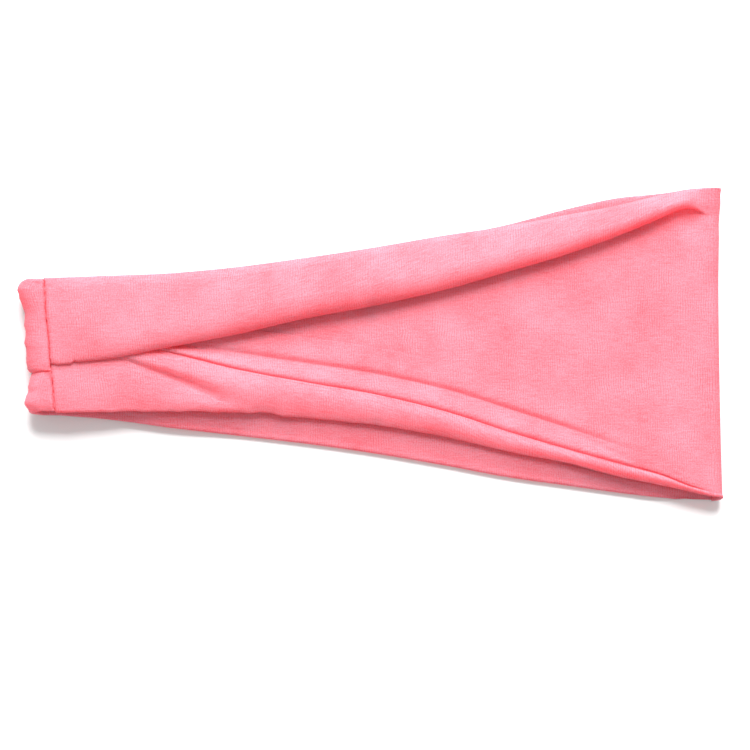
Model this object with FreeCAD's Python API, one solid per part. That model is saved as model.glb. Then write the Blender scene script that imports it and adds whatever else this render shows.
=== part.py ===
import FreeCAD, Part
import os

os.makedirs("parts", exist_ok=True)

# A jersey sports headband lying flat as a closed loop. +X runs from the back seam to the front fold,
# +Y across the band, +Z up from the surface it lies on. All sizes are millimetres.
# The band is a double-ply tube of cloth. At the back seam it is folded in three, and both flaps
# taper away towards the front fold.

# Cloth and thread
cloth = 1.0             # two plies of jersey, pressed flat
air = 0.3               # air between two layers that lie on each other
step = cloth + air      # height from one layer to the next
butt_gap = 0.1          # between two regions of the same cloth
press = 0.05            # how far the surface underneath presses the lowest flap flat
thread = 0.3            # sewing thread across
stitch_pitch = 3.0
stitch_length = 2.4

# Plan of the band, at stations from the seam to the front
station_x = [-107.0, -90.0, -68.0, -45.0, -22.0, 2.0, 26.0, 48.0, 68.0, 86.0, 100.0, 108.0]
near_top_y = [22.6, 23.3, 24.2, 26.3, 29.4, 33.0, 37.1, 40.4, 44.1, 47.4, 50.6, 52.2]
near_bottom_y = [-22.9, -22.7, -22.7, -23.2, -25.1, -27.5, -31.6, -36.7, -40.5, -45.2, -48.0, -49.6]
far_top_y = [21.9, 22.6, 23.5, 25.5, 28.6, 32.2, 36.6, 41.0, 46.2, 50.0, 51.4, 52.6]
far_bottom_y = [-24.1, -25.5, -28.4, -31.1, -33.8, -37.2, -41.3, -45.4, -48.2, -50.7, -52.3, -53.0]
upper_free_y = [-6.5, -5.0, -0.9, 3.4, 8.7, 13.1, 18.5, 24.7, 30.6, 37.0, 42.8]
lower_free_y = [3.5, 1.5, -2.6, -8.4, -12.8, -17.0, -22.9, -29.9, -35.7, -40.6, -44.2]
flap_stations = len(upper_free_y)

# Heights of the undersides of the layers, at the same stations
far_upper_z = [-press] * flap_stations
far_lower_z = [step, step, step, 0.0, 0.0, 0.0, 0.0, 0.0, 0.0, 0.0, 0.0]
far_panel_z = [2 * step, 2 * step, 2 * step, step, step, step, step, step, step, step, step, 0.0]
near_panel_z = [8.4, 6.6, 4.6, 3.6, 2.9, 2.9, 2.9, 3.1, 3.6, 4.4, 5.2, 5.8]
near_lower_rise = [step] * flap_stations
near_upper_rise = [2 * step] * 3 + [step] * 8
# depth of the soft roll at the upper flap's free edge
upper_roll = [1.2, 1.6, 2.2, 2.8, 3.2, 3.4, 3.4, 3.2, 3.0, 2.6, 2.2]

# Front fold: a soft bend that never presses flat
front_x = 120.2
front_lean = 1.4        # how far the fold's upper end stands back from its lower end
front_half_width = 53.7
front_inside = near_panel_z[-1] - cloth

# Back seam
seam_x = -108.7         # line of the stitches
seam_groove = 0.8
wrap_left_top_x = -120.2
wrap_left_bottom_x = -117.6
wrap_upper_free_y = -9.5
wrap_lower_free_y = 3.5
allowance_width = 4.3
allowance_depth = 3.9      # twelve plies, pressed by the stitches
allowance_edge_depth = 2.4 # at the raw edge, squeezed by the overlock
overlock_reach = 3.2


def vec(x, y, z):
    return FreeCAD.Vector(x, y, z)


def line(start, end):
    return Part.makeLine(start, end)


def arc(start, middle, end):
    return Part.Arc(start, middle, end).toShape()


def polygon(points):
    return Part.makePolygon(points + [points[0]])


def loft(wires):
    return Part.makeLoft(wires, True, True)


def export(name, solids):
    shape = solids[0] if len(solids) == 1 else Part.makeCompound(solids)
    shape.exportStep("parts/" + name + ".step")


def between(values, x):
    """Value at x on the straight runs between the stations."""
    last = len(values) - 2
    span = 0
    while span < last and x > station_x[span + 1]:
        span += 1
    share = (x - station_x[span]) / (station_x[span + 1] - station_x[span])
    return values[span] + share * (values[span + 1] - values[span])


# Panels: the middle of the band, between its two long folds

def panel_section(x, low_y, high_y, z):
    return polygon([
        vec(x, low_y, z),
        vec(x, high_y, z),
        vec(x, high_y, z + cloth),
        vec(x, low_y, z + cloth),
    ])


def panel(low_ys, high_ys, heights, low_folds, high_folds):
    """Panel between two folds. low_folds and high_folds are the folds' outer radii."""
    wires = []
    for i in range(len(station_x)):
        fold = min(i, flap_stations - 1)
        low_y = low_ys[i] + low_folds[fold] + butt_gap
        high_y = high_ys[i] - high_folds[fold] - butt_gap
        wires.append(panel_section(station_x[i], low_y, high_y, heights[i]))
    return loft(wires)


# Flaps: a short lip beside the panel, a round fold, and the flap lying over or under the panel

def fold_radii(lip_zs, flap_zs):
    return [(abs(flap_z - lip_z) + cloth) / 2 for lip_z, flap_z in zip(lip_zs, flap_zs)]


def flap_section(x, fold_y, free_y, side, lip_z, flap_z, roll):
    """Section of a flap. side is +1 when the fold is on the +Y edge, and roll is the free edge's depth."""
    over = flap_z > lip_z
    up = 1 if over else -1
    lip_out = lip_z if over else lip_z + cloth
    lip_in = lip_out + up * cloth
    flap_out = flap_z + cloth if over else flap_z
    flap_in = flap_out - up * cloth
    middle = (lip_out + flap_out) / 2
    outer = abs(flap_out - lip_out) / 2
    inner = abs(flap_in - lip_in) / 2
    root_y = fold_y - side * outer
    cap_y = free_y + side * roll / 2
    cap_out = flap_in + up * roll
    cap_middle = (cap_out + flap_in) / 2
    return Part.Wire([
        arc(vec(x, root_y, lip_out), vec(x, fold_y, middle), vec(x, root_y, flap_out)),
        line(vec(x, root_y, flap_out), vec(x, cap_y, cap_out)),
        arc(vec(x, cap_y, cap_out), vec(x, free_y, cap_middle), vec(x, cap_y, flap_in)),
        line(vec(x, cap_y, flap_in), vec(x, root_y, flap_in)),
        arc(vec(x, root_y, flap_in), vec(x, root_y + side * inner, middle), vec(x, root_y, lip_in)),
        line(vec(x, root_y, lip_in), vec(x, root_y, lip_out)),
    ])


def flap(fold_ys, free_ys, side, lip_zs, flap_zs, rolls):
    wires = []
    for i in range(flap_stations):
        wires.append(flap_section(
            station_x[i], fold_ys[i], free_ys[i], side, lip_zs[i], flap_zs[i], rolls[i]))
    return loft(wires)


def pressed_flat(solid):
    """The solid with everything below the surface it lies on taken off, which leaves one plane face."""
    size = 2 * front_x
    return solid.cut(Part.makeBox(size, size, cloth, vec(-front_x, -front_x, -cloth)))


# Tube seam: a row of stitches in a narrow channel inside the upper flap's free edge

channel = thread + 0.2
channel_inset = 1.2     # from the free edge to the middle of the channel


def square_section(x, y, z, size):
    half = size / 2
    return polygon([
        vec(x, y - half, z - half),
        vec(x, y + half, z - half),
        vec(x, y + half, z + half),
        vec(x, y - half, z + half),
    ])


def seam_line(free_ys, flap_zs):
    """Middle of the channel at each flap station, as two lists, y and z."""
    ys = [y + channel_inset for y in free_ys]
    zs = [z + cloth / 2 for z in flap_zs]
    return ys, zs


def seam_channel(ys, zs):
    wires = []
    for x, y, z in zip(station_x, ys, zs):
        wires.append(square_section(x, y, z, channel))
    return loft(wires)


def seam_stitches(ys, zs):
    stitches = []
    x = station_x[0] + 1.0
    end = station_x[flap_stations - 1] - stitch_length - 1.0
    while x < end:
        tail = x + stitch_length
        wires = [
            square_section(x, between(ys, x), between(zs, x), thread),
            square_section(tail, between(ys, tail), between(zs, tail), thread),
        ]
        stitches.append(loft(wires))
        x += stitch_pitch
    return stitches


# Front fold: far and near layers meet in one soft bend

def bend_section(y, outer_x, leg_x, low_z, high_z, way):
    """Section of a sheet bent round an end of the loop. way is +1 at the front and -1 at the back."""
    outer = (high_z - low_z) / 2
    inner = outer - cloth
    middle = (high_z + low_z) / 2
    turn_x = outer_x - way * outer
    return Part.Wire([
        line(vec(leg_x, y, low_z), vec(turn_x, y, low_z)),
        arc(vec(turn_x, y, low_z), vec(outer_x, y, middle), vec(turn_x, y, high_z)),
        line(vec(turn_x, y, high_z), vec(leg_x, y, high_z)),
        line(vec(leg_x, y, high_z), vec(leg_x, y, high_z - cloth)),
        line(vec(leg_x, y, high_z - cloth), vec(turn_x, y, high_z - cloth)),
        arc(vec(turn_x, y, high_z - cloth), vec(turn_x + way * inner, y, middle),
            vec(turn_x, y, low_z + cloth)),
        line(vec(turn_x, y, low_z + cloth), vec(leg_x, y, low_z + cloth)),
        line(vec(leg_x, y, low_z + cloth), vec(leg_x, y, low_z)),
    ])


def front_fold():
    leg_x = station_x[-1] + butt_gap + air
    top_z = near_panel_z[-1] + cloth
    return loft([
        bend_section(-front_half_width, front_x, leg_x, 0.0, top_z, 1),
        bend_section(front_half_width, front_x - front_lean, leg_x, 0.0, top_z, 1),
    ])


# Back wrap: the far layer's folded end comes round the back of the loop and up to the seam

wrap_low_y = near_bottom_y[0]
wrap_high_y = near_top_y[0]
wrap_top_z = near_panel_z[0] + 2 * step + cloth


def wrap_left_x(y):
    share = (y - wrap_low_y) / (wrap_high_y - wrap_low_y)
    return wrap_left_bottom_x + share * (wrap_left_top_x - wrap_left_bottom_x)


def wrap_sheet(low_y, high_y, layer):
    """One of the three nested sheets. layer 0 is the outermost."""
    sink = layer * step
    wires = []
    for y in (low_y, high_y):
        wires.append(bend_section(
            y, wrap_left_x(y) + sink, seam_x - seam_groove / 2, sink, wrap_top_z - sink, -1))
    return loft(wires)


def wrap_foot(low_y, high_y, layer):
    """Flat piece of the same sheet between the bend's lower leg and the far layer."""
    start_x = seam_x - seam_groove / 2
    length = station_x[0] - butt_gap - start_x
    return Part.makeBox(length, high_y - low_y, cloth, vec(start_x, low_y, layer * step))


def wrap(low_y, high_y, layer):
    return wrap_sheet(low_y, high_y, layer).fuse(wrap_foot(low_y, high_y, layer)).removeSplitter()


# Seam allowance: the sewn ends of the cloth, turned back inside the loop

allowance_low_y = wrap_low_y + 1.5
allowance_high_y = wrap_high_y - 1.5
allowance_middle_z = wrap_top_z / 2
allowance_right_x = seam_x - 0.2
allowance_left_x = allowance_right_x - allowance_width


def allowance_slice(y, length, right_x, skin):
    """Slice of the allowance, tapering to its raw edge, with a skin of the given thickness."""
    share = (right_x - allowance_left_x) / allowance_width
    edge_half = allowance_edge_depth / 2 + skin
    right_half = edge_half + share * (allowance_depth - allowance_edge_depth) / 2
    left_x = allowance_left_x - skin
    face = Part.Face(polygon([
        vec(left_x, y, allowance_middle_z - edge_half),
        vec(right_x, y, allowance_middle_z - right_half),
        vec(right_x, y, allowance_middle_z + right_half),
        vec(left_x, y, allowance_middle_z + edge_half),
    ]))
    return face.extrude(vec(0, length, 0))


def seam_allowance():
    length = allowance_high_y - allowance_low_y
    return allowance_slice(allowance_low_y, length, allowance_right_x, 0.0)


def overlock_stitches():
    """Thread loops round the raw edge of the allowance."""
    reach_x = allowance_left_x + overlock_reach
    stitches = []
    y = allowance_low_y + 1.0
    while y < allowance_high_y - 1.0:
        around = allowance_slice(y, thread, reach_x, thread)
        core = allowance_slice(y - thread, 3 * thread, reach_x, 0.0)
        stitches.append(around.cut(core))
        y += stitch_pitch
    return stitches


def back_seam_stitches():
    """Lockstitches lying in the groove, one layer lower where the upper flap ends."""
    stitches = []
    y = wrap_low_y + 0.8
    while y + stitch_length < wrap_high_y:
        crossing = y < wrap_upper_free_y < y + stitch_length
        if not crossing:
            drop = 0.0 if y > wrap_upper_free_y else step
            z = wrap_top_z - cloth / 2 - drop
            stitches.append(Part.makeCylinder(
                thread / 2, stitch_length, vec(seam_x, y, z), vec(0, 1, 0)))
        y += stitch_pitch
    return stitches


def far_layer():
    flat = [cloth] * flap_stations
    lip_zs = far_panel_z[:flap_stations]
    export("far_panel", [panel(
        far_bottom_y, far_top_y, far_panel_z,
        fold_radii(lip_zs, far_lower_z), fold_radii(lip_zs, far_upper_z))])
    export("far_lower_flap", [flap(far_bottom_y, lower_free_y, -1, lip_zs, far_lower_z, flat)])
    ys, zs = seam_line(upper_free_y, far_upper_z)
    upper = flap(far_top_y, upper_free_y, 1, lip_zs, far_upper_z, flat)
    export("far_upper_flap", [pressed_flat(upper).cut(seam_channel(ys, zs))])
    export("far_tube_seam_thread", seam_stitches(ys, zs))


def near_layer():
    flat = [cloth] * flap_stations
    lip_zs = near_panel_z[:flap_stations]
    lower_zs = [z + rise for z, rise in zip(lip_zs, near_lower_rise)]
    upper_zs = [z + rise for z, rise in zip(lip_zs, near_upper_rise)]
    export("near_panel", [panel(
        near_bottom_y, near_top_y, near_panel_z,
        fold_radii(lip_zs, lower_zs), fold_radii(lip_zs, upper_zs))])
    export("near_lower_flap", [flap(near_bottom_y, lower_free_y, -1, lip_zs, lower_zs, flat)])
    ys, zs = seam_line(upper_free_y, upper_zs)
    upper = flap(near_top_y, upper_free_y, 1, lip_zs, upper_zs, upper_roll)
    export("near_upper_flap", [upper.cut(seam_channel(ys, zs))])
    export("near_tube_seam_thread", seam_stitches(ys, zs))


def back_seam():
    export("back_wrap_upper_flap", [wrap(wrap_upper_free_y, wrap_high_y, 0)])
    export("back_wrap_lower_flap", [wrap(wrap_low_y, wrap_lower_free_y, 1)])
    export("back_wrap_panel", [wrap(wrap_low_y, wrap_high_y, 2)])
    export("seam_allowance", [seam_allowance()])
    export("overlock_thread", overlock_stitches())
    export("back_seam_thread", back_seam_stitches())


far_layer()
near_layer()
export("front_fold", [front_fold()])
back_seam()
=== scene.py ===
import math

import bpy
import numpy as np
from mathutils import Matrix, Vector


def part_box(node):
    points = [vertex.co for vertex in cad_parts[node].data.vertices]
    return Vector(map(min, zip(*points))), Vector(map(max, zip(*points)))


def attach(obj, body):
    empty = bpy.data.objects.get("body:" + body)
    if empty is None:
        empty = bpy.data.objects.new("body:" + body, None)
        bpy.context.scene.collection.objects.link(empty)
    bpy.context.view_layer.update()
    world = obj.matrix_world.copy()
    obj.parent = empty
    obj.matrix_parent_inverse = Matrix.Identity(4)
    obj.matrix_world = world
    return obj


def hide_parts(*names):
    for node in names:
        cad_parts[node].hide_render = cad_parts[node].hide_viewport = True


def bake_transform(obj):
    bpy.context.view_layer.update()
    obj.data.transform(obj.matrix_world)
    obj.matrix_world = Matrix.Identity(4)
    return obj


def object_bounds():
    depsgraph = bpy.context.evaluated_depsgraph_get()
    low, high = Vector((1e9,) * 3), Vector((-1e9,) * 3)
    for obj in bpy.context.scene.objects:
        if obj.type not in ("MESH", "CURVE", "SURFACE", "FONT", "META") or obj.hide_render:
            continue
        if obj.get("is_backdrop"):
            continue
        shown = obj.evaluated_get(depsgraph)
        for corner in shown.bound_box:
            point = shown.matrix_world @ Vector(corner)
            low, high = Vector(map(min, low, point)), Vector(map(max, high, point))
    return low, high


# A jersey sports headband lying flat as a closed loop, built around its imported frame.
# Lengths are in millimetres until a mesh is made, and metres from there on.

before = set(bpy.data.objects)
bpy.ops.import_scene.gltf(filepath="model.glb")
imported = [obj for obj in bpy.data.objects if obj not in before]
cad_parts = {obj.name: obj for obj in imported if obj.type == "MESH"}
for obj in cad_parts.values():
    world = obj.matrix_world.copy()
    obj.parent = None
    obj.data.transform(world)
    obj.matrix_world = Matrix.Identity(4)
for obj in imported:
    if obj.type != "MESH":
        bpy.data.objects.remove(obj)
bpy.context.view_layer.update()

MM = 0.001
CLOTH = 1.0             # two plies of jersey, pressed flat
HALF = CLOTH / 2        # from the middle of the cloth to either face
LAYER = 1.3             # from the middle of one layer to the middle of the next
THREAD = 0.3
STATION_POINTS = 12     # a station of a CAD solid has at least this many points in its plane
PANEL_REACH = 125.0     # the panels' height lines are held level out to here at both ends
SEAM_LOW, SEAM_HIGH = -24.0, 23.0   # the back seam's groove runs between these
HELD_X = -107.0         # the far layer keeps this station's section from here on to the back
BACK_TURN_X = -112.5    # where the far layer starts to turn up at the back
FLAP_END = 1.05         # the far flaps' width where they have tapered to nothing but the fold
FAR_UV_START = 250.0    # keeps the far layer's knit pattern apart from the near layer's
PER_SPAN = 4            # points between two controls of a section


# ---------------------------------------------------------------- numbers from the frame

def node_points(name):
    """The points of a CAD node, in millimetres."""
    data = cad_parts[name].data
    points = np.empty(len(data.vertices) * 3)
    data.vertices.foreach_get("co", points)
    return points.reshape(-1, 3) / MM


def station_line(name, axis, pick):
    """At each station of a CAD solid, the lowest or highest y (axis 1) or z (axis 2)."""
    points = node_points(name)
    rounded = np.round(points[:, 0], 1)
    values, counts = np.unique(rounded, return_counts=True)
    xs = values[counts >= STATION_POINTS]
    return list(xs), [pick(points[rounded == x, axis]) for x in xs]


def node_box(name):
    low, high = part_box(name)
    return np.array(low) / MM, np.array(high) / MM


# ---------------------------------------------------------------- small curves

def smoothstep(low, high, x):
    """0 up to low and 1 from high on, with a smooth rise between."""
    share = np.clip((np.asarray(x, float) - low) / (high - low), 0.0, 1.0)
    return share * share * (3.0 - 2.0 * share)


def smooth_line(xs, ys):
    """A smooth curve through a few points, as a function."""
    xs = np.asarray(xs, float)
    ys = np.asarray(ys, float)
    slopes = np.gradient(ys, xs)

    def value(x):
        x = np.clip(np.asarray(x, float), xs[0], xs[-1])
        i = np.clip(np.searchsorted(xs, x, side="right") - 1, 0, len(xs) - 2)
        gap = xs[i + 1] - xs[i]
        u = (x - xs[i]) / gap
        start = (2 * u ** 3 - 3 * u ** 2 + 1) * ys[i] + (u ** 3 - 2 * u ** 2 + u) * gap * slopes[i]
        end = (3 * u ** 2 - 2 * u ** 3) * ys[i + 1] + (u ** 3 - u ** 2) * gap * slopes[i + 1]
        return start + end

    return value


def extended(line, *more):
    """A station line with further points at its +X end."""
    xs, ys = line
    return smooth_line(xs + [x for x, y in more], ys + [y for x, y in more])


# ---------------------------------------------------------------- plan and heights of the band

wrap_low, wrap_high = node_box("back_wrap_upper_flap")
front_low, front_high = node_box("front_fold")
seam_x = node_box("back_seam_thread")[0][0] + THREAD / 2

FRONT_X = front_high[0]
FRONT_Z = (front_high[2] + front_low[2]) / 2            # middle of the front bend
FRONT_R = (front_high[2] - front_low[2] - CLOTH) / 2    # to the middle of the cloth
BACK_Z = (wrap_high[2] + wrap_low[2]) / 2
BACK_R = BACK_Z - 2 * LAYER - HALF                      # to the middle of the innermost layer
BEND_X = FRONT_X - FRONT_R - HALF                       # where the layers run into the bend

near_top = extended(station_line("near_upper_flap", 1, max), (108.0, 52.3), (114.0, 53.1), (121.0, 53.7))
plain_bottom = extended(station_line("near_lower_flap", 1, min),
                        (108.0, -49.8), (114.0, -51.2), (121.0, -52.4))


def near_bottom(x):
    """The near layer's bottom fold, which ripples a little behind the middle."""
    x = np.asarray(x, float)
    ripple = 0.10 * np.sin(0.29 * x + 0.6) + 0.09 * np.sin(0.53 * x + 2.0) + 0.05 * np.sin(1.07 * x)
    slack = smoothstep(-102.0, -88.0, x) * (1 - 0.75 * smoothstep(-30.0, 10.0, x))
    slack = slack * (1 - smoothstep(96.0, 108.0, x))
    return plain_bottom(x) + ripple * slack + 0.55 * np.exp(-((x + 36.0) / 4.0) ** 2)


upper_free = extended(station_line("near_upper_flap", 1, min), (106.0, 45.5),
                      (109.5, 46.2), (112.0, 45.9), (114.5, 44.4), (121.0, 42.0))
lower_free = extended(station_line("near_lower_flap", 1, max),
                      (108.0, -47.3), (114.0, -49.3), (121.0, -51.9))
far_top = extended(station_line("far_upper_flap", 1, max), (108.0, 52.6), (121.0, 53.5))
far_bottom = extended(station_line("far_lower_flap", 1, min), (108.0, -53.1), (121.0, -53.5))
far_upper_free = extended(station_line("far_upper_flap", 1, min),
                          (104.0, 47.6), (108.0, 51.7), (121.0, 53.4))
far_lower_free = extended(station_line("far_lower_flap", 1, max),
                          (104.0, -49.4), (108.0, -52.2), (121.0, -53.4))


def layer_line(name):
    """The middle of a panel's cloth, from its underside at each station."""
    xs, zs = station_line(name, 2, min)
    middles = [z + HALF for z in zs]
    return smooth_line([-PANEL_REACH] + xs + [PANEL_REACH], middles[:1] + middles + middles[-1:])


near_height = layer_line("near_panel")
far_line = layer_line("far_panel")


def far_height(x):
    """The middle of the far panel's cloth: on the floor at the front, on its own flaps elsewhere."""
    return np.maximum(far_line(x), HALF)


# The groove of the back seam leans a little, and the band's two ends aren't quite straight
seam_line = smooth_line([-26.0, -15.0, -7.0, 0.0, 9.0, 24.0],
                        [seam_x + 2.2, seam_x + 1.2, seam_x + 0.4, seam_x + 0.1, seam_x - 0.9, seam_x - 2.0])
back_x = smooth_line([-25.0, -22.0, -19.5, -16.0, -10.0, -4.0, 4.0, 11.0, 15.0, 18.6, 20.4, 21.6, 25.0],
                     [-117.2, -117.6, -118.2, -117.2, -116.3, -116.9, -117.3, -117.6, -118.7, -120.0, -119.5,
                      -118.2, -115.0])


def groove_x(y):
    """Where the back seam draws the cloth in: the line wavers a little from stitch to stitch."""
    y = np.clip(np.asarray(y, float), SEAM_LOW, SEAM_HIGH)
    return seam_line(y) + 0.10 * np.sin(1.9 * y + 0.3) + 0.07 * np.sin(3.3 * y + 1.0)


FRONT_BOW = 1.6         # the front fold's top lies this far behind its bottom
CORNER_POINT = 0.5      # but its top corner is pulled out to a point


def front_x(y):
    """The outer face of the front fold."""
    y = np.asarray(y, float)
    share = np.clip((front_high[1] - y) / (front_high[1] - front_low[1]), 0, 1)
    corner = CORNER_POINT * np.exp(-((y - front_high[1]) / 2.2) ** 2)
    return FRONT_X - FRONT_BOW + FRONT_BOW * share ** 2.4 + corner


def bend_start(y):
    """Where the layers run into the front bend."""
    return front_x(y) - FRONT_R - HALF


# ---------------------------------------------------------------- cross-sections

def refine(controls, per_span):
    """Points along a smooth curve through each section's control points: (stations, controls, 2)."""
    first = 2 * controls[:, :1] - controls[:, 1:2]
    last = 2 * controls[:, -1:] - controls[:, -2:-1]
    p = np.concatenate([first, controls, last], axis=1)
    p0, p1, p2, p3 = p[:, :-3], p[:, 1:-2], p[:, 2:-1], p[:, 3:]
    out = []
    for step in range(per_span):
        u = step / per_span
        out.append(0.5 * (2 * p1 + (p2 - p0) * u + (2 * p0 - 5 * p1 + 4 * p2 - p3) * u * u
                          + (3 * p1 - p0 - 3 * p2 + p3) * u ** 3))
    body = np.stack(out, axis=2).reshape(controls.shape[0], -1, 2)
    return np.concatenate([body, controls[:, -1:]], axis=1)


# how far the ridge reaches up from the lower flap's free edge
ridge_width = smooth_line([-109.0, -84.0, -68.0, -45.0, -24.0, 10.0, 44.0, 78.0, 100.0, 117.0],
                          [0.8, 1.4, 3.4, 5.6, 6.4, 7.1, 7.7, 6.4, 4.2, 2.0])
# the upper flap's roll, over the flap's own base
roll_height = smooth_line([-109.0, -100.0, -90.0, -68.0, -45.0, -20.0, 20.0, 60.0, 86.0, 100.0, 108.0,
                           113.0, 117.0],
                          [0.9, 1.7, 2.7, 4.3, 5.5, 6.0, 6.0, 5.4, 4.8, 4.2, 3.0, 1.3, 0.02])
# the lower flap's crest
ridge_height = smooth_line([-109.0, -96.0, -86.0, -72.0, -56.0, -20.0, 30.0, 70.0, 96.0, 108.0, 117.0],
                           [0.25, 0.35, 0.95, 2.2, 2.6, 2.4, 2.2, 1.8, 1.4, 1.0, 0.3])
# y of the soft valley that crosses the lower flap behind the middle
valley_line = smooth_line([-109.0, -100.0, -92.0, -85.6, -76.0, -66.5, -57.0, -50.0, -44.0],
                          [-1.0, -2.2, -3.4, -5.0, -8.7, -12.6, -16.7, -19.6, -21.0])
CREST_SHARE = 0.66      # the crest's place across the lower flap, from its bottom fold
MARGIN_LIFT = 0.9       # the near layer's bottom fold rests on the far layer's full margin
FLAP_INSET = 0.8        # the lower flap's own controls keep this far from its two edges
SWELL_FOOT = 8.5        # the panel's slight swell starts this far above the ridge's valley
PRESSED = -0.05         # a layer under another is pressed down by this much


def dome(share):
    """The lower flap's height from its bottom fold (0) to its free edge (1), as a share of its crest."""
    rise = 1 - (1 - np.clip(share / CREST_SHARE, 0, 1)) ** 2
    return rise * edge_fall(share)


def edge_fall(share):
    """What is left of that height past the crest, as the flap falls to its free edge."""
    return 1 - 0.65 * np.clip((share - CREST_SHARE) / (1 - CREST_SHARE), 0, 1) ** 2


def valley_share(x, bottom, width):
    """Where the soft valley crosses the lower flap, as a share of the flap's width."""
    line = (valley_line(x) - bottom - FLAP_INSET) / (width - 2 * FLAP_INSET)
    past = smoothstep(-56.0, -46.0, x)
    return np.minimum(line * (1 - past) + (0.20 + 0.14 * smoothstep(-44.0, 40.0, x)) * past, 0.84)


def lower_flap_heights(x, valley, crest):
    """Shares of the lower flap's width from the bottom fold, and how far it stands up at each.
    Behind the middle a soft valley crosses the flap, and the cloth past it stands higher."""
    crossed = smoothstep(-100.0, -88.0, x) * (1 - smoothstep(-56.0, -40.0, x))
    behind = 1 - smoothstep(-100.0, -88.0, x)
    plain = 1 - crossed - behind
    out = []
    for t in (0.25, 0.5, 0.75, 1.0):
        share = valley * t
        swell = 0.10 + 0.9 * np.clip(valley / 0.6, 0, 1) * 4 * (t * 0.9 + 0.05) * (0.95 - t * 0.9)
        level = 1 - (1 - t) ** 2
        rise = (0.10 * crest + swell - 0.10) / crest
        out.append((share, crest * (dome(share) * plain + rise * crossed + level * behind)))
    for t in (0.18, 0.36, 0.54, 0.72, 0.88, 1.0):
        share = valley + (0.93 - valley) * t
        climb = min(1.0, t / 0.62)
        rise = (0.10 + 0.90 * climb * climb * (3 - 2 * climb)) * edge_fall(share)
        out.append((share, crest * (dome(share) * plain + rise * crossed + edge_fall(share) * behind)))
    return out


def stacked(x, controls):
    """Controls given as (y, height) for all stations, as an array (stations, controls, 2)."""
    return np.stack([np.stack([y + 0 * x, height + 0 * x], axis=-1) for y, height in controls], axis=1)


def flap_base(x):
    """How far the upper flap's middle stands over the centre panel's."""
    return 1.1 + 0.9 * (1 - smoothstep(-76.0, -60.0, x))


def upper_flap_controls(x, top, free):
    """The free edge is a soft roll, and the flap domes down from there to the top fold."""
    width = top - free
    size = np.clip(width / 12.0, 0.0, 1.0)
    base = flap_base(x) * np.clip(width / 4.0, 0.0, 1.0)
    base = base * (1 - 0.98 * smoothstep(107.0, 116.0, x))
    height = roll_height(x)
    reach = np.minimum(6.2, 0.32 * width)
    lip = base + 0.34 * height
    out = [(free + HALF + share * reach, base + rise * height)
           for share, rise in ((1.05, 0.0), (0.75, 0.0), (0.40, 0.03), (0.10, 0.14))]
    out.append((free + HALF, lip))
    for angle in (22, 45, 67):
        a = math.radians(angle)
        out.append((free + HALF + reach * (1 - math.cos(a)), lip + (base + height - lip) * math.sin(a)))
    out.append((free + HALF + reach, base + height))
    rest = top - HALF - free - HALF - reach
    edge = 0.5 * base + 0.44 * height
    for share in (0.18, 0.36, 0.54, 0.72, 0.86):
        fall = 0.34 * share + 0.66 * share ** 1.9
        out.append((top - HALF - rest * (1 - share), base + height - (base + height - edge) * fall))
    tight = 0.10 * rest * size
    out.append((top - HALF - 0.35 * tight, 0.80 * edge))
    out.append((top - HALF, 0.45 * edge))
    out.append((top - HALF - 0.35 * tight, 0.14 * edge))
    out.append((top - HALF - tight - 0.8 * size, PRESSED))
    return out


def panel_controls(x, start, bottom, free, ridge_on, lift):
    """The centre panel, from under the upper flap (start) over a swell, the valley and the ridge,
    and on under the lower flap to the bottom fold."""
    width = free - bottom
    size = np.clip(width / 9.0, 0.0, 1.0)
    plateau = 1.9 * smoothstep(66.0, 98.0, x) * (1 - smoothstep(108.0, 117.0, x))
    valley_gap = ridge_width(x)
    valley = free + valley_gap
    out = [(start + (valley - start) * share, plateau * share ** 3) for share in (0.15, 0.32, 0.50, 0.68)]
    run = 0.32 * (start - valley) - SWELL_FOOT
    out += [(valley + SWELL_FOOT + run * share, plateau * level)
            for share, level in ((0.62, 0.50), (0.34, 0.70), (0.14, 0.85))]
    swell = ridge_on * smoothstep(-74.0, -34.0, x) * (1 - 0.85 * smoothstep(62.0, 100.0, x))
    ridge = ridge_on * (1 + 0.45 * (1 - smoothstep(-62.0, -28.0, x)))
    out += [(valley + gap, rise * swell + plateau)
            for gap, rise in ((SWELL_FOOT, 0.08), (6.4, 0.26), (4.6, 0.46), (3.1, 0.58), (1.9, 0.52),
                              (1.0, 0.16), (0.3, -0.16), (-0.4, -0.14))]
    out += [(valley - share * valley_gap, np.maximum(rise * ridge, level * plateau))
            for share, rise, level in ((0.26, 0.26, 0.97), (0.48, 0.84, 0.92), (0.68, 1.34, 0.90),
                                       (0.82, 1.42, 0.84), (0.93, 1.05, 0.72))]
    out.append((free - 0.15, 0.30 * ridge_on))
    out.append((free - 1.3 * size, PRESSED))
    out.append((free - 2.6 * size, PRESSED))
    out.append((bottom + 0.50 * width, 0.45 * lift + PRESSED))
    out.append((bottom + HALF + 1.5 * size, lift + PRESSED))
    return out


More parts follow.
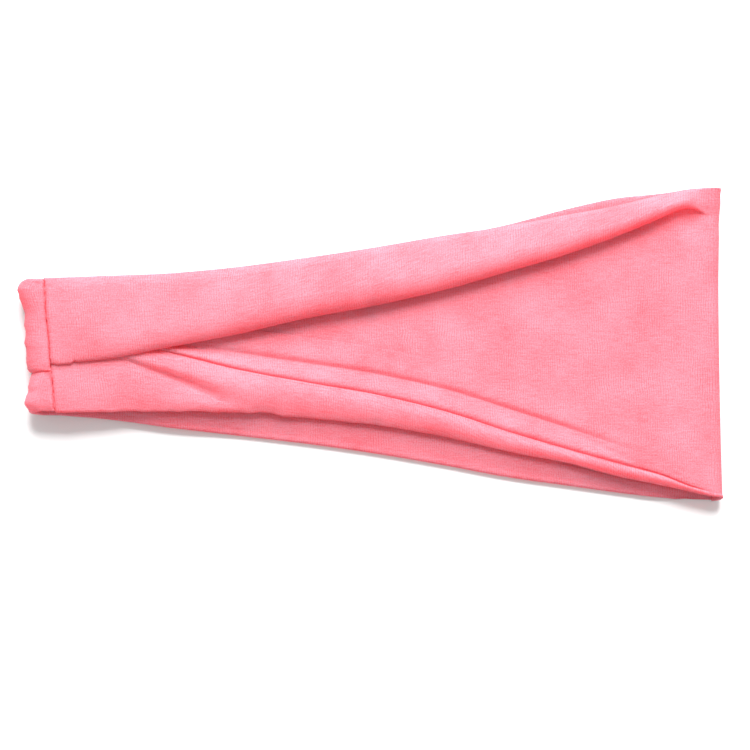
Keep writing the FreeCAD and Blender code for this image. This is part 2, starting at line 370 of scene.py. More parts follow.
def lower_flap_controls(x, bottom, free, ridge_on, lift):
    """The bottom fold, and the lower flap back up to its free edge, fullest just inside it."""
    width = free - bottom
    size = np.clip(width / 9.0, 0.0, 1.0)
    flat = 1.2 * size
    crest = ridge_height(x)
    out = [(bottom + HALF + 0.35 * size, lift + 0.14 * flat),
           (bottom + HALF, lift + 0.55 * flat),
           (bottom + HALF + 0.30 * size, lift + 0.90 * flat + 0.04 * crest)]
    for share, rise in lower_flap_heights(x, valley_share(x, bottom, width), crest):
        out.append((bottom + FLAP_INSET + share * (width - 2 * FLAP_INSET),
                    flat + rise + lift * (1 - share) ** 1.5))
    lip = 0.90 * size + 0.25 * ridge_on
    high = np.maximum(flat + 0.35 * crest, lip + 0.2)
    out.append((free - HALF - 0.80 * size, lip + 0.82 * (high - lip)))
    out.append((free - HALF - 0.25 * size, lip + 0.45 * (high - lip)))
    out.append((free - HALF, lip))
    return out


def near_controls(x):
    """The middle of the near layer's doubled cloth, from the upper flap's edge to the lower flap's.
    Each control's height is over the centre panel."""
    top, bottom = near_top(x), near_bottom(x)
    free_u, free_l = upper_free(x), lower_free(x)
    # just right of the back seam the edge hangs lower, and ends in a small notch
    free_u = free_u - 0.45 * smoothstep(-107.5, -106.0, x) * (1 - smoothstep(-101.6, -100.6, x))
    free_u = free_u + 0.40 * np.exp(-((x + 100.4) / 0.5) ** 2)
    ridge_on = smoothstep(-86.0, -64.0, x) * (1 - smoothstep(106.0, 118.0, x))
    lift = MARGIN_LIFT * smoothstep(-88.0, -62.0, x) * (1 - smoothstep(72.0, 104.0, x))
    upper = upper_flap_controls(x, top, free_u)
    under_flap = upper[-1][0]
    panel = panel_controls(x, under_flap, bottom, free_l, ridge_on, lift)
    return stacked(x, upper + panel + lower_flap_controls(x, bottom, free_l, ridge_on, lift))


def uncovered(share):
    """The lower flap swells where the upper one doesn't lie on it."""
    return float(smoothstep(0.0, 0.12, share) * (1 - smoothstep(0.40, 0.58, share)))


def far_controls(x, top, bottom, free_u, free_l, margin, full):
    """The same for the far layer. Its flaps lie on the floor under it, and heights grow downwards.
    margin is the width of the full, rounded edge that shows below the near layer, and full is how
    far the flaps have turned over, from 0 on the floor to 1 on top."""
    free_u = np.minimum(free_u, top - FLAP_END)
    free_l = np.maximum(free_l, bottom + FLAP_END)
    width_u, width_l = top - free_u, free_l - bottom
    under = np.maximum(far_height(x) - HALF, 0.04)
    upper = under * np.clip(width_u / 4.0, 0.02, 1)
    lower = np.minimum(LAYER, under) * np.clip(width_l / 4.0, 0.02, 1)
    puff = 1.15 * smoothstep(1.0, 5.0, margin) * (1 - smoothstep(-107.0, -112.0, x))
    out = [(free_u + HALF, upper - 0.25 * full)]
    out += [(free_u + HALF + (width_u - CLOTH) * share, upper) for share in (0.05, 0.25, 0.5, 0.75, 0.92)]
    out += [(top - HALF - 0.20, 0.80 * upper), (top - HALF, 0.5 * upper), (top - HALF - 0.20, 0.20 * upper)]
    out += [(top - HALF - (top - bottom - margin - CLOTH) * share, -puff * rise)
            for share, rise in ((0.04, 0.0), (0.25, 0.0), (0.5, 0.0), (0.72, 0.0), (0.88, 0.35),
                                (1.0, 0.92))]
    out += [(bottom + HALF + margin * share, -puff * rise)
            for share, rise in ((0.86, 1.0), (0.70, 0.90), (0.54, 0.66), (0.38, 0.34), (0.20, -0.02))]
    out += [(bottom + HALF + 0.04 * margin + 0.06, 0.20 * lower), (bottom + HALF, 0.50 * lower),
            (bottom + HALF + 0.25, 0.85 * lower)]
    out += [(bottom + HALF + (width_l - CLOTH) * share, lower + 0.75 * full * uncovered(share))
            for share in (0.10, 0.25, 0.42, 0.60, 0.80, 0.98)]
    return stacked(x, out)


CAP_POINTS = 4                              # in the round edge at each end of a section
CAP_WIDTHS = np.array([[0.2, 0.5, 0.8, 1.0]])   # their distance past the end, across the cloth


def shell(middle):
    """Closed section round the middle line: both faces and a round edge at each end.
    Returns the points (stations, around, 2) and the distance across the cloth of each."""
    tangent = np.gradient(middle, axis=1)
    tangent /= np.maximum(np.linalg.norm(tangent, axis=2, keepdims=True), 1e-9)
    normal = np.stack([-tangent[..., 1], tangent[..., 0]], axis=2)
    across = np.concatenate([np.zeros((len(middle), 1)),
                             np.cumsum(np.linalg.norm(np.diff(middle, axis=1), axis=2), axis=1)], axis=1)
    outer = middle - normal * HALF
    inner = middle + normal * HALF

    def cap(end, sign):
        turns = []
        for k in range(1, CAP_POINTS + 1):
            a = math.pi * k / (CAP_POINTS + 1)
            turns.append(middle[:, end] + HALF * sign * (
                math.sin(a) * tangent[:, end] - math.cos(a) * normal[:, end]))
        return np.stack(turns, axis=1)

    points = np.concatenate([outer, cap(-1, 1), inner[:, ::-1], cap(0, -1)], axis=1)
    last = np.repeat(across[:, -1:], CAP_POINTS, axis=1) + CAP_WIDTHS
    first = np.zeros((len(middle), CAP_POINTS)) - CAP_WIDTHS
    distance = np.concatenate([across, last, across[:, ::-1], first], axis=1)
    return points, distance - middle_line(middle, across)[:, None]


def middle_line(middle, across):
    """Distance across the cloth at which each section's centre panel crosses the band's middle."""
    out = []
    for points, distance in zip(middle, across):
        low = int(np.argmin(points[:, 0]))
        high = int(np.argmax(points[:, 0]))
        span = slice(min(low, high), max(low, high) + 1)
        ys, ds = points[span, 0], distance[span]
        order = np.argsort(ys)
        out.append(np.interp(0.0, ys[order], ds[order]))
    return np.array(out)


def undulation(x, y):
    """Slow, slight waves of resting cloth, in millimetres."""
    return (0.10 * np.sin(0.105 * x + 0.05 * y + 0.7)
            + 0.08 * np.sin(0.061 * x - 0.19 * y + 2.1)
            + 0.05 * np.sin(0.23 * x + 0.11 * y + 4.0)
            + 0.04 * np.sin(-0.14 * x + 0.33 * y + 1.2))


SEAM_ROUND = 1.5        # the cloth rounds down into the back seam's groove over this distance
SEAM_DRAW = 0.78        # and is drawn down by this share of its height over the panel


def seam_drop(distance, height):
    """How far the cloth is drawn down at this distance from the groove."""
    u = np.clip(distance / SEAM_ROUND, 0, 1)
    shoulder = 1 - np.sqrt(np.clip(1 - (1 - u) ** 2, 0, 1))
    return shoulder * SEAM_DRAW * np.clip(height, 0, 2.0)


# ---------------------------------------------------------------- meshes

def linked(name, data):
    obj = bpy.data.objects.new(name, data)
    bpy.context.scene.collection.objects.link(obj)
    return obj


def mesh_piece(name, points, faces, corner_uvs):
    """A smooth-shaded object from points in millimetres, with a UV for each corner of each face."""
    mesh = bpy.data.meshes.new(name)
    mesh.from_pydata((np.asarray(points) * MM).tolist(), [], faces)
    layer = mesh.uv_layers.new(name="cloth")
    layer.data.foreach_set("uv", np.array(corner_uvs, float).ravel())
    mesh.polygons.foreach_set("use_smooth", [True] * len(mesh.polygons))
    mesh.update()
    return linked(name, mesh)


def section_end(half, around):
    """The faces that close a section's end, as numbers in its ring: strips between its two faces,
    and one face for the round edge at each side. The second is wound the other way."""
    far_side = half + CAP_POINTS
    strips = [(j, j + 1, far_side + half - 2 - j, far_side + half - 1 - j) for j in range(half - 1)]
    end = list(range(half - 1, far_side + 1))
    start = [0] + [around - 1 - k for k in range(CAP_POINTS + 1)]
    return strips + [end, start[::-1]]


def grid_mesh(name, points, uv):
    """A closed tube of quads: points (stations, around, 3) in millimetres, uv (stations, around, 2)."""
    rows, around = points.shape[:2]
    corners = []
    for i in range(rows - 1):
        for j in range(around):
            k = (j + 1) % around
            corners.append(((i, j), (i + 1, j), (i + 1, k), (i, k)))
    for row, flip in ((0, False), (rows - 1, True)):
        for ring in section_end((around - 2 * CAP_POINTS) // 2, around):
            corners.append([(row, j) for j in (ring[::-1] if flip else ring)])
    faces = [tuple(i * around + j for i, j in keys) for keys in corners]
    return mesh_piece(name, points.reshape(-1, 3), faces, [uv[i, j] for keys in corners for i, j in keys])


def front_dimple(x, y):
    """Where the upper flap's roll runs out, the panel is drawn down in a hollow, and the cloth
    between the hollow and the front fold stands up as a soft rim that fades down the edge."""
    pit = np.exp(-((x - 110.0) / 4.2) ** 2 - ((y - 42.5) / 4.0) ** 2)
    rim = np.exp(-((x - 116.6) / 3.6) ** 2) * smoothstep(20.0, 44.0, y)
    corner = np.exp(-((x - 115.0) / 3.6) ** 2 - ((y - 48.5) / 4.2) ** 2)
    return -1.9 * pit + 0.9 * rim + 0.5 * corner


def near_surface(shares, turn_angles=()):
    """Near layer: shares run from the groove (0) to the start of the front bend (1), then
    turn_angles run round the bend from 90 degrees (top) to -90 degrees (floor)."""
    x = seam_x + shares * (BEND_X - seam_x)
    section, distance = shell(refine(near_controls(x), PER_SPAN))
    y, o = section[..., 0], section[..., 1]
    groove = groove_x(y)
    lean = shares[:, None] ** 0.8
    world_x = (groove - seam_x) * (1 - lean) + (bend_start(y) - BEND_X) * lean ** 3 + x[:, None]
    calm = smoothstep(-106.0, -90.0, x)[:, None] * (1 - smoothstep(104.0, 116.0, x))[:, None]
    panel = np.clip(1.6 - np.abs(o), 0, 1)
    height = near_height(x)[:, None] + o
    height = height + undulation(world_x, y) * calm
    height = height + front_dimple(world_x, y) * panel
    height = height - seam_drop(world_x - groove, o)
    points = np.stack([world_x, y, height], axis=2)
    uv = np.stack([np.repeat(x[:, None], y.shape[1], axis=1), distance], axis=2)
    if len(turn_angles):
        bend_points, bend_uv = front_bend(x[-1], y[-1], height[-1], distance[-1], turn_angles)
        points = np.concatenate([points, bend_points], axis=0)
        uv = np.concatenate([uv, bend_uv], axis=0)
    return on_floor(points), uv


def front_bend(x, y, height, distance, turn_angles):
    """The near layer's last section turned down to the floor, widening to the far layer's edges."""
    low_from, high_from = near_bottom(x), near_top(x)
    low_to, high_to = far_bottom(x), far_top(x)
    bend_x = bend_start(y)
    o = height - FRONT_Z - FRONT_R
    place = (y - low_from) / (high_from - low_from)
    over = np.clip(o - HALF, 0, None)
    points, uvs = [], []
    for angle in turn_angles:
        a = math.radians(angle)
        along = float(smoothstep(90, -90, angle))
        low = low_from + (low_to - low_from) * along
        high = high_from + (high_to - high_from) * along
        r = FRONT_R + o - over * (1 - math.cos(math.radians((90 - angle) / 2)) ** 2)
        points.append(np.stack([bend_x + r * math.cos(a), low + (high - low) * place,
                                FRONT_Z + r * math.sin(a)], axis=1))
        travelled = math.radians(90 - angle) * FRONT_R
        uvs.append(np.stack([np.full(len(y), BEND_X + travelled), distance], axis=1))
    return np.array(points), np.array(uvs)


# The strip's edges as it turns over at the back: on the floor (0), at the turn (0.5) and on top (1)
wrap_top = smooth_line([0.0, 0.5, 1.0], [far_top(HELD_X), 22.4, 22.2])
wrap_bottom = smooth_line([0.0, 0.5, 1.0], [far_bottom(HELD_X), -23.4, -22.6])
wrap_free_u = smooth_line([0.0, 0.5, 1.0], [far_upper_free(HELD_X), -9.4, -9.0])
wrap_free_l = smooth_line([0.0, 0.5, 1.0], [far_lower_free(HELD_X), 3.0, 3.4])
WRAP_MARGIN = 1.3
BACK_REACH = BACK_R + 2 * LAYER + HALF      # from the bend's middle out to the strip's face


def far_floor(shares):
    """Far layer from the front bend along the floor to the back."""
    x = BEND_X + shares * (BACK_TURN_X - BEND_X)
    held = np.maximum(x, HELD_X)
    margin = np.clip(near_bottom(held) - far_bottom(held), 0.6, 12.0)
    controls = far_controls(held, far_top(held), far_bottom(held), far_upper_free(held),
                            far_lower_free(held), margin, 0.0)
    section, distance = shell(refine(controls, PER_SPAN))
    y, o = section[..., 0], section[..., 1]
    share = shares[:, None]
    front = bend_start(y) - BEND_X
    back = back_x(y) + BACK_REACH - BACK_TURN_X
    world_x = x[:, None] + front * (1 - share) ** 3 + back * share ** 8
    points = np.stack([world_x, y, far_height(x)[:, None] - o], axis=2)
    travelled = FAR_UV_START + BEND_X - x
    return points, np.stack([travelled[:, None] + 0 * y, distance], axis=2)


def far_turn(turns, travelled):
    """Far layer round the back (turns from 0 to 1) and along to the groove (1 to 2)."""
    round_it = np.clip(turns, 0.0, 1.0)
    held = np.full(len(turns), HELD_X)
    margin = np.full(len(turns), WRAP_MARGIN)
    controls = far_controls(held, wrap_top(round_it), wrap_bottom(round_it), wrap_free_u(round_it),
                            wrap_free_l(round_it), margin, smoothstep(0.2, 0.8, round_it))
    section, distance = shell(refine(controls, PER_SPAN))
    y, o = section[..., 0], section[..., 1]
    angle = np.pi * round_it[:, None]
    crumple = 0.22 * np.sin(0.9 * y + 1.0) + 0.14 * np.sin(2.1 * y + 0.4)
    crumple = crumple * np.sin(angle) * np.clip(o / (2 * LAYER), 0, 1)
    curl = top_curl(y, wrap_top(round_it)[:, None]) * np.clip(o / 2.0, 0, 1)
    curl = curl * smoothstep(0.35, 0.8, round_it)[:, None]
    r = BACK_R + np.clip(o, -HALF, 2 * LAYER + HALF) + crumple - curl
    px = back_x(y) + BACK_REACH - r * np.sin(angle)
    pz = BACK_Z - r * np.cos(angle)
    leg = np.clip(turns - 1.0, 0.0, 1.0)[:, None]
    groove = groove_x(y) - 0.06
    px = px * (1 - leg) + groove * leg
    pz = pz - seam_drop(groove - px, o) * (leg > 0)
    pz = pz - 0.15 * np.sin(np.pi * leg)
    along = travelled + round_it * math.pi * (BACK_R + 2 * LAYER) + leg[:, 0] * 4.0
    return np.stack([px, y, pz], axis=2), np.stack([along[:, None] + 0 * y, distance], axis=2)


def far_surface(shares, turns):
    floor_points, floor_uv = far_floor(shares)
    turn_points, turn_uv = far_turn(turns, floor_uv[-1, 0, 0])
    return (on_floor(np.concatenate([floor_points, turn_points], axis=0)),
            np.concatenate([floor_uv, turn_uv], axis=0))


def on_floor(points):
    """Cloth that would sink into the floor lies on it."""
    points[..., 2] = np.maximum(points[..., 2], 0.0)
    return points


def top_curl(y, top):
    """The strip's top corner curls in: a small hollow just inside the fold."""
    return 0.45 * np.exp(-((y - top + 1.9) / 0.8) ** 2)


def graded(start, end, count, power=1.0):
    """Numbers from start to end, closer together at the start for a power over 1."""
    return start + (end - start) * np.linspace(0, 1, count) ** power


def row_normals(points):
    """Normals of a tube of quads, row by row."""
    along = np.gradient(points, axis=0)
    around = np.roll(points, -1, axis=1) - np.roll(points, 1, axis=1)
    normal = np.cross(along, around)
    return normal / np.maximum(np.linalg.norm(normal, axis=2, keepdims=True), 1e-12)


def smooth_joined(obj, normals):
    """Gives a tube's first and last rows the normals of the whole surface it was cut from, so
    that its joint doesn't show."""
    around = normals.shape[1]
    flat = normals.reshape(-1, 3)
    data = obj.data
    own = np.empty(len(data.vertices) * 3)
    data.vertices.foreach_get("normal", own)
    own = own.reshape(-1, 3)
    sign = 1.0 if float(np.sum(own * flat)) > 0 else -1.0
    own[:around] = sign * flat[:around]
    own[-around:] = sign * flat[-around:]
    data.normals_split_custom_set_from_vertices(own.tolist())


MIDDLE_SHARE = 0.49     # where the near layer's cloth is split into its back and front pieces
back_shares = graded(0.0, MIDDLE_SHARE, 170, 1.25)
front_shares = graded(MIDDLE_SHARE, 1.0, 160)
front_angles = np.linspace(90, -90, 26)[1:]
far_turns = np.concatenate([np.linspace(0, 1, 40)[1:], 1 + np.linspace(0, 1, 22)[1:] ** 0.8])

back_points, back_uv = near_surface(back_shares)
front_points, front_uv = near_surface(front_shares, front_angles)
all_normals = row_normals(np.concatenate([back_points, front_points[1:]], axis=0))
near_back = grid_mesh("near_cloth_back", back_points, back_uv)
near_front = grid_mesh("near_cloth_front", front_points, front_uv)
smooth_joined(near_back, all_normals[:len(back_points)])
smooth_joined(near_front, all_normals[len(back_points) - 1:])
far_cloth = grid_mesh("far_cloth", *far_surface(np.linspace(0, 1, 170), far_turns))


# ---------------------------------------------------------------- threads and the seam's inside

STITCH_PITCH = 3.0
STITCH_LENGTH = 2.4
STITCH_POINTS = 9
OVERLOCK_PITCH = 2.2
THREAD_SIDES = 8
THREAD_TWIST = 2.2      # turn of the two plies, in radians per thread diameter
PLIES = 6               # sewn together in the seam allowance
PLY_SIDES = 20
STRIP_EDGE_Y = -9.0     # the upper flap's free edge in the turned-over strip
UPPER_FACE = 3.1        # the strip's face over its innermost layer's middle, above that edge
LOWER_FACE = 2.4        # and below it
STITCH_DEPTH = 1.45     # the back seam's stitches lie this far below the strip's face
EDGE_TO_STITCH = 1.6    # from the upper flap's free edge to the tube seam inside it
NEAR_SEAM_BACK = (-104.0, -0.5)     # the tube seam's two runs in the near layer, and the far one's
NEAR_SEAM_FRONT = (1.0, 98.0)
FAR_SEAM = (-104.0, 98.0)


def tube_faces(first, rows, around):
    """Quads of a closed tube and its two ends, for rings of vertices numbered from first."""
    faces = []
    for i in range(rows - 1):
        for j in range(around):
            k = (j + 1) % around
            faces.append((first + i * around + j, first + i * around + k,
                          first + (i + 1) * around + k, first + (i + 1) * around + j))
    last = first + (rows - 1) * around
    faces.append(tuple(first + j for j in range(around))[::-1])
    faces.append(tuple(last + j for j in range(around)))
    return faces


def tubes_piece(name, tubes):
    """One piece of many tubes, each given as its rings of points and their UVs."""
    vertices, uvs, faces = [], [], []
    for rings, ring_uvs in tubes:
        faces += tube_faces(len(vertices), *rings.shape[:2])
        vertices += list(rings.reshape(-1, 3))
        uvs += list(ring_uvs.reshape(-1, 2))
    return mesh_piece(name, vertices, faces, [uvs[i] for face in faces for i in face])


def thread_tube(path):
    """Rings and UVs of a two-ply thread along a path in millimetres."""
    path = np.asarray(path, float)
    radius = THREAD / 2
    steps = np.linalg.norm(np.diff(path, axis=0), axis=1)
    along = np.concatenate([[0.0], np.cumsum(steps)])
    tangent = np.gradient(path, axis=0)
    tangent /= np.linalg.norm(tangent, axis=1, keepdims=True)
    side = np.cross(tangent, [0.23, 0.31, 0.92])
    side /= np.maximum(np.linalg.norm(side, axis=1, keepdims=True), 1e-9)
    up = np.cross(side, tangent)
    rings, uvs = [], []
    for i, point in enumerate(path):
        end = min(1.0, 0.35 + min(i, len(path) - 1 - i) * 0.65)
        for j in range(THREAD_SIDES):
            a = 2 * math.pi * j / THREAD_SIDES
            r = radius * end * (0.80 + 0.20 * abs(math.cos(a - THREAD_TWIST * along[i] / (2 * radius))))
            rings.append(point + side[i] * math.cos(a) * r + up[i] * math.sin(a) * r)
            uvs.append((along[i], j / THREAD_SIDES))
    return (np.array(rings).reshape(len(path), THREAD_SIDES, 3),
            np.array(uvs).reshape(len(path), THREAD_SIDES, 2))


def thread_piece(name, paths):
    return tubes_piece(name, [thread_tube(path) for path in paths])


def stitch(start, end, sink):
    """One stitch: it dives into the cloth at both ends."""
    start, end = np.array(start, float), np.array(end, float)
    path = []
    for u in np.linspace(0, 1, STITCH_POINTS):
        dip = sink * (2 * u - 1) ** 4
        path.append(start + (end - start) * u - np.array([0, 0, dip]))
    return path


def squared(value, power):
    """A sine or cosine flattened towards 1 and -1, which makes a circle into a rounded box."""
    return math.copysign(abs(value) ** power, value)


def back_seam_stitches():
    """The stitches in the groove, and two loose thread ends on the strip's step."""
    low, high = node_box("back_seam_thread")
    paths = []
    y = low[1] + 0.3
    while y + STITCH_LENGTH < high[1]:
        face = BACK_Z + BACK_R + (UPPER_FACE if y > STRIP_EDGE_Y else LOWER_FACE)
        z = face - STITCH_DEPTH
        paths.append(stitch((groove_x(y), y, z), (groove_x(y + STITCH_LENGTH), y + STITCH_LENGTH, z), 0.4))
        y += STITCH_PITCH
    top = BACK_Z + BACK_R + 2 * LAYER
    tail = smooth_line([0.0, 0.25, 0.5, 0.75, 1.0], [-0.3, 0.5, 0.1, 0.7, 0.2])
    drop = smooth_line([0.0, 0.25, 0.5, 0.75, 1.0], [0.55, 0.45, 0.15, 0.10, 0.0])
    step_x = groove_x(-8.2)
    paths.append([(step_x + tail(u), -7.9 - 3.6 * u, top + drop(u)) for u in np.linspace(0, 1, 17)])
    paths.append([(step_x - 1.8 + 1.9 * u, -8.9 + 0.5 * math.sin(3.0 * u), top + 0.55)
                  for u in np.linspace(0, 1, 11)])
    return thread_piece("back_seam_stitches", paths)


def seam_allowance_cloth():
    """The sewn ends of the six plies, turned back inside the fold."""
    low, high = node_box("seam_allowance")
    thick = (high[2] - low[2]) / PLIES
    seam = high[0] - 0.05
    tubes = []
    for ply in range(PLIES):
        z = low[2] + thick * (ply + 0.5)
        rings = []
        for y in np.linspace(low[1] + 0.2, high[1] - 0.2, 60):
            raw = low[0] + 0.15 * math.sin(0.8 * y + ply) + 0.12 * math.sin(2.3 * y + 2 * ply) + 0.25
            ring = []
            for k in range(PLY_SIDES):
                a = 2 * math.pi * k / PLY_SIDES
                px = (raw + seam) / 2 + (seam - raw) / 2 * squared(math.cos(a), 0.35)
                pz = z + thick * 0.48 * squared(math.sin(a), 0.7)
                ring.append((px, y, pz + 0.05 * math.sin(0.5 * y + ply)))
            rings.append(ring)
        rings = np.array(rings)
        tubes.append((rings, rings[..., :2]))
    return tubes_piece("seam_allowance_cloth", tubes)


def overlock_loops():
    """Thread laced to and fro over the raw ends."""
    low, high = node_box("overlock_thread")
    half_x = (high[0] - low[0]) / 2 - THREAD / 2
    half_z = (high[2] - low[2]) / 2 - THREAD / 2
    paths = []
    y = low[1] + 0.3
    while y + OVERLOCK_PITCH < high[1]:
        loop = []
        for u in np.linspace(0, 1, 25):
            a = 2 * math.pi * u
            px = (low[0] + high[0]) / 2 + half_x * squared(math.cos(a), 0.4)
            pz = (low[2] + high[2]) / 2 + half_z * squared(math.sin(a), 0.4)
            loop.append((px, y + OVERLOCK_PITCH * u, pz))
        paths.append(loop)
        y += OVERLOCK_PITCH
    return thread_piece("overlock_loops", paths)


def tube_seam_stitches(name, run, free, height):
    """Stitches inside a flap, just within its free edge, from one end of the run to the other."""
    x, last = run
    paths = []
    while x + STITCH_LENGTH < last:
        ends = [(px, float(free(px)) + EDGE_TO_STITCH, float(height(px))) for px in (x, x + STITCH_LENGTH)]
        paths.append(stitch(ends[0], ends[1], 0.25))
        x += STITCH_PITCH
    return thread_piece(name, paths)


def near_seam_height(x):
    """The near seam lies inside the upper flap's lip, and rises with its roll."""
    return near_height(x) + flap_base(x) + 0.34 * roll_height(x)


def far_seam_height(x):
    """The far seam lies in the flap on the floor, at the same height all along."""
    return 0.75


seam_stitches = back_seam_stitches()
allowance = seam_allowance_cloth()
overlock = overlock_loops()
near_seam_back = tube_seam_stitches("near_tube_seam_back", NEAR_SEAM_BACK, upper_free, near_seam_height)
near_seam_front = tube_seam_stitches("near_tube_seam_front", NEAR_SEAM_FRONT, upper_free, near_seam_height)
far_seam = tube_seam_stitches("far_tube_seam", FAR_SEAM, far_upper_free, far_seam_height)


# ---------------------------------------------------------------- material

WALE = 0.80             # from one column of loops to the next
COURSE = 0.62           # and from one row to the next
THROUGH = 0.62          # share of the light that goes through the cloth and reddens its shadows
TONE_START = 1.60       # taken off the summed noises, so that their middle is the middle tone


def knit_material(name, deep, light, glow):
    """Jersey, from UVs in millimetres: u runs along the band and v across it."""
    material = bpy.data.materials.new(name)
    material.use_nodes = True
    nodes, links = material.node_tree.nodes, material.node_tree.links
    nodes.clear()
    output = nodes.new("ShaderNodeOutputMaterial")
    shader = nodes.new("ShaderNodeBsdfPrincipled")
    through = nodes.new("ShaderNodeBsdfTranslucent")
    through.inputs["Color"].default_value = (*glow, 1.0)
    cloth = nodes.new("ShaderNodeMixShader")
    cloth.inputs[0].default_value = THROUGH
    links.new(shader.outputs["BSDF"], cloth.inputs[1])
    links.new(through.outputs["BSDF"], cloth.inputs[2])
    links.new(cloth.outputs[0], output.inputs["Surface"])
    uv_node = nodes.new("ShaderNodeUVMap")
    uv_node.uv_map = "cloth"
    split = nodes.new("ShaderNodeSeparateXYZ")
    links.new(uv_node.outputs["UV"], split.inputs[0])
    u, v = split.outputs[0], split.outputs[1]

    def math_node(operation, a, b=None):
        node = nodes.new("ShaderNodeMath")
        node.operation = operation
        for socket, value in zip(node.inputs, (a, b)):
            if value is None:
                continue
            if isinstance(value, (int, float)):
                socket.default_value = value
            else:
                links.new(value, socket)
        return node.outputs[0]

    def noise(scale, detail, roughness=0.5, place=uv_node.outputs["UV"]):
        node = nodes.new("ShaderNodeTexNoise")
        node.inputs["Scale"].default_value = scale
        node.inputs["Detail"].default_value = detail
        node.inputs["Roughness"].default_value = roughness
        links.new(place, node.inputs["Vector"])
        return node.outputs[0]

    # wales that wander a little, and V-shaped loops along them
    wander = math_node("MULTIPLY", noise(0.13, 3.0), 2.2)
    cell = math_node("FRACT", math_node("DIVIDE", math_node("ADD", u, wander), WALE))
    side = math_node("ABSOLUTE", math_node("MULTIPLY", math_node("SUBTRACT", cell, 0.5), 2.0))
    course = math_node("ADD", math_node("DIVIDE", v, COURSE), math_node("MULTIPLY", side, 0.55))
    loop = math_node("SINE", math_node("MULTIPLY", math_node("FRACT", course), math.pi))
    rib = math_node("SUBTRACT", 1.0, math_node("POWER", side, 4.0))
    height = math_node("MULTIPLY", rib, math_node("ADD", math_node("MULTIPLY", loop, 0.4), 0.6))

    # tone: the yarn's slubs as short streaks, broad blotches and fuzz, all its own; and painted shade in the
    # grooves between the wales, in patches, with a little painted light on the loops' tops
    stretch = nodes.new("ShaderNodeCombineXYZ")
    links.new(math_node("MULTIPLY", u, 0.22), stretch.inputs[0])
    links.new(math_node("MULTIPLY", v, 1.9), stretch.inputs[1])
    slub = noise(1.0, 3.0, 0.6, stretch.outputs[0])
    # painted shade in the grooves between the wales: the wales' relief, shown in patches where this noise is
    # high
    clear = math_node("MULTIPLY", math_node("SUBTRACT", noise(0.11, 2.0), 0.30), 1.5)
    wale_groove_shade = math_node("MULTIPLY", math_node("SUBTRACT", rib, 0.7), clear)
    tone = math_node("MULTIPLY", slub, 1.00)
    # the yarn's own tone, plus the painted groove shade and a little painted light on the loops' tops
    for source, weight in ((noise(0.05, 4.0), 0.85), (noise(1.9, 4.0, 0.75), 2.30), (wale_groove_shade, 1.25),
                           (loop, 0.04)):
        tone = math_node("ADD", tone, math_node("MULTIPLY", source, weight))
    tone = math_node("SUBTRACT", tone, TONE_START)
    mix = nodes.new("ShaderNodeMix")
    mix.data_type = "RGBA"
    links.new(tone, mix.inputs[0])
    mix.inputs[6].default_value = (*deep, 1.0)
    mix.inputs[7].default_value = (*light, 1.0)
    links.new(mix.outputs[2], shader.inputs["Base Color"])

    bump = nodes.new("ShaderNodeBump")
    bump.inputs["Strength"].default_value = 0.5
    bump.inputs["Distance"].default_value = 0.08 * MM
    links.new(height, bump.inputs["Height"])
    links.new(bump.outputs[0], shader.inputs["Normal"])
    shader.inputs["Roughness"].default_value = 0.85
    shader.inputs["Specular IOR Level"].default_value = 0.2
    shader.inputs["Sheen Weight"].default_value = 0.25
    shader.inputs["Sheen Roughness"].default_value = 0.45
    shader.inputs["Sheen Tint"].default_value = (1.0, 0.86, 0.90, 1.0)
    return material


GLOW = (0.99, 0.13, 0.15)
cloth_pieces = (near_back, near_front, far_cloth, allowance)
thread_pieces = (seam_stitches, overlock, near_seam_back, near_seam_front, far_seam)
jersey = knit_material("jersey_knit", (0.86, 0.190, 0.245), (0.97, 0.575, 0.715), GLOW)
thread = knit_material("thread_twist", (0.88, 0.23, 0.28), (0.98, 0.62, 0.75), GLOW)
for piece in cloth_pieces:
    piece.data.materials.append(jersey)
for piece in thread_pieces:
    piece.data.materials.append(thread)


# ---------------------------------------------------------------- how the pieces move

lift_start = (groove_x(0.0) * MM, 0, 0)
for piece in (near_back, near_seam_back):
    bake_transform(piece)
for piece in (near_front, near_seam_front):
    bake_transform(piece)
for piece in (far_cloth, allowance, seam_stitches, overlock, far_seam):
    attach(piece, "far_layer")
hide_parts("near_panel", "near_upper_flap", "near_lower_flap")
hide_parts("front_fold")
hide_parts("far_panel", "far_upper_flap", "far_lower_flap",
            "back_wrap_panel", "back_wrap_lower_flap", "back_wrap_upper_flap")
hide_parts("seam_allowance")
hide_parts("back_seam_thread")
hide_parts("overlock_thread")
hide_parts("near_tube_seam_thread")
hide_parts("far_tube_seam_thread")


# ---------------------------------------------------------------- floor, light and camera

FLOOR_HALF = 3.0        # metres
FLOOR_Z = -0.0001       # just under the cloth, so that the two never coincide
KEY_PLACE = (0.06, 1.14, 0.94)
KEY_SIZE = (1.0, 0.85)
KEY_POWER = 60
SKY_STRENGTH = 0.66


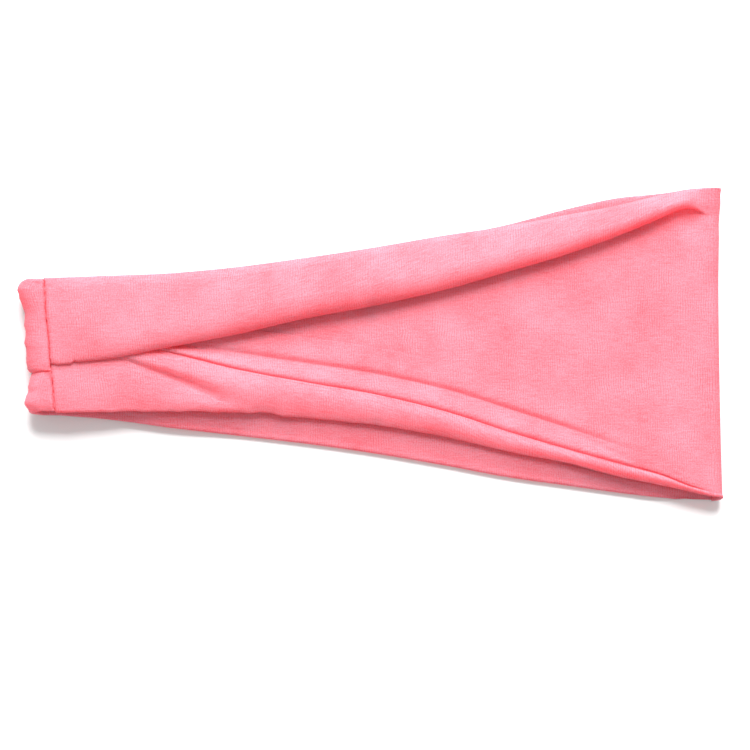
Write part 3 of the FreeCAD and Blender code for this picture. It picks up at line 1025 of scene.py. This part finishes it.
def floor():
    mesh = bpy.data.meshes.new("floor")
    size = FLOOR_HALF
    mesh.from_pydata([(-size, -size, FLOOR_Z), (size, -size, FLOOR_Z), (size, size, FLOOR_Z),
                      (-size, size, FLOOR_Z)], [], [(0, 1, 2, 3)])
    material = bpy.data.materials.new("pale_floor")
    material.use_nodes = True
    shader = material.node_tree.nodes["Principled BSDF"]
    shader.inputs["Base Color"].default_value = (0.86, 0.86, 0.86, 1)
    shader.inputs["Roughness"].default_value = 0.9
    mesh.materials.append(material)
    obj = linked("floor", mesh)
    obj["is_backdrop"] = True


def area_light(name, place, aim, size, power):
    light = bpy.data.lights.new(name, "AREA")
    light.shape = "RECTANGLE"
    light.size, light.size_y = size
    light.energy = power
    obj = linked(name, light)
    obj.location = place
    obj.rotation_euler = (Vector(aim) - Vector(place)).to_track_quat("-Z", "Y").to_euler()


floor()
area_light("key", KEY_PLACE, (0, 0, 0), KEY_SIZE, KEY_POWER)

world = bpy.data.worlds.new("studio")
world.use_nodes = True
world.node_tree.nodes["Background"].inputs["Color"].default_value = (1.0, 1.0, 1.0, 1)
world.node_tree.nodes["Background"].inputs["Strength"].default_value = SKY_STRENGTH
bpy.context.scene.world = world
bpy.context.scene.view_settings.view_transform = "Standard"

SIDE_MARGIN = 8.0       # white left and right of the band in the picture
RIGHT_OF_MIDDLE = 1.5   # the picture's middle lies this far right of the band's
BELOW_MIDDLE = 10.3     # and this far below it
CAMERA_HEIGHT = 1200.0
SENSOR = 36.0
band_low, band_high = (np.array(corner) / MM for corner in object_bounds())
view_width = band_high[0] - band_low[0] + 2 * SIDE_MARGIN
view_x = (band_low[0] + band_high[0]) / 2 + RIGHT_OF_MIDDLE
view_y = (band_low[1] + band_high[1]) / 2 - BELOW_MIDDLE
camera = bpy.data.cameras.new("camera")
camera.sensor_width = SENSOR
camera.sensor_fit = "HORIZONTAL"
camera.lens = SENSOR * CAMERA_HEIGHT / view_width
camera_object = linked("camera", camera)
camera_object.location = (view_x * MM, view_y * MM, CAMERA_HEIGHT * MM)
bpy.context.scene.camera = camera_object
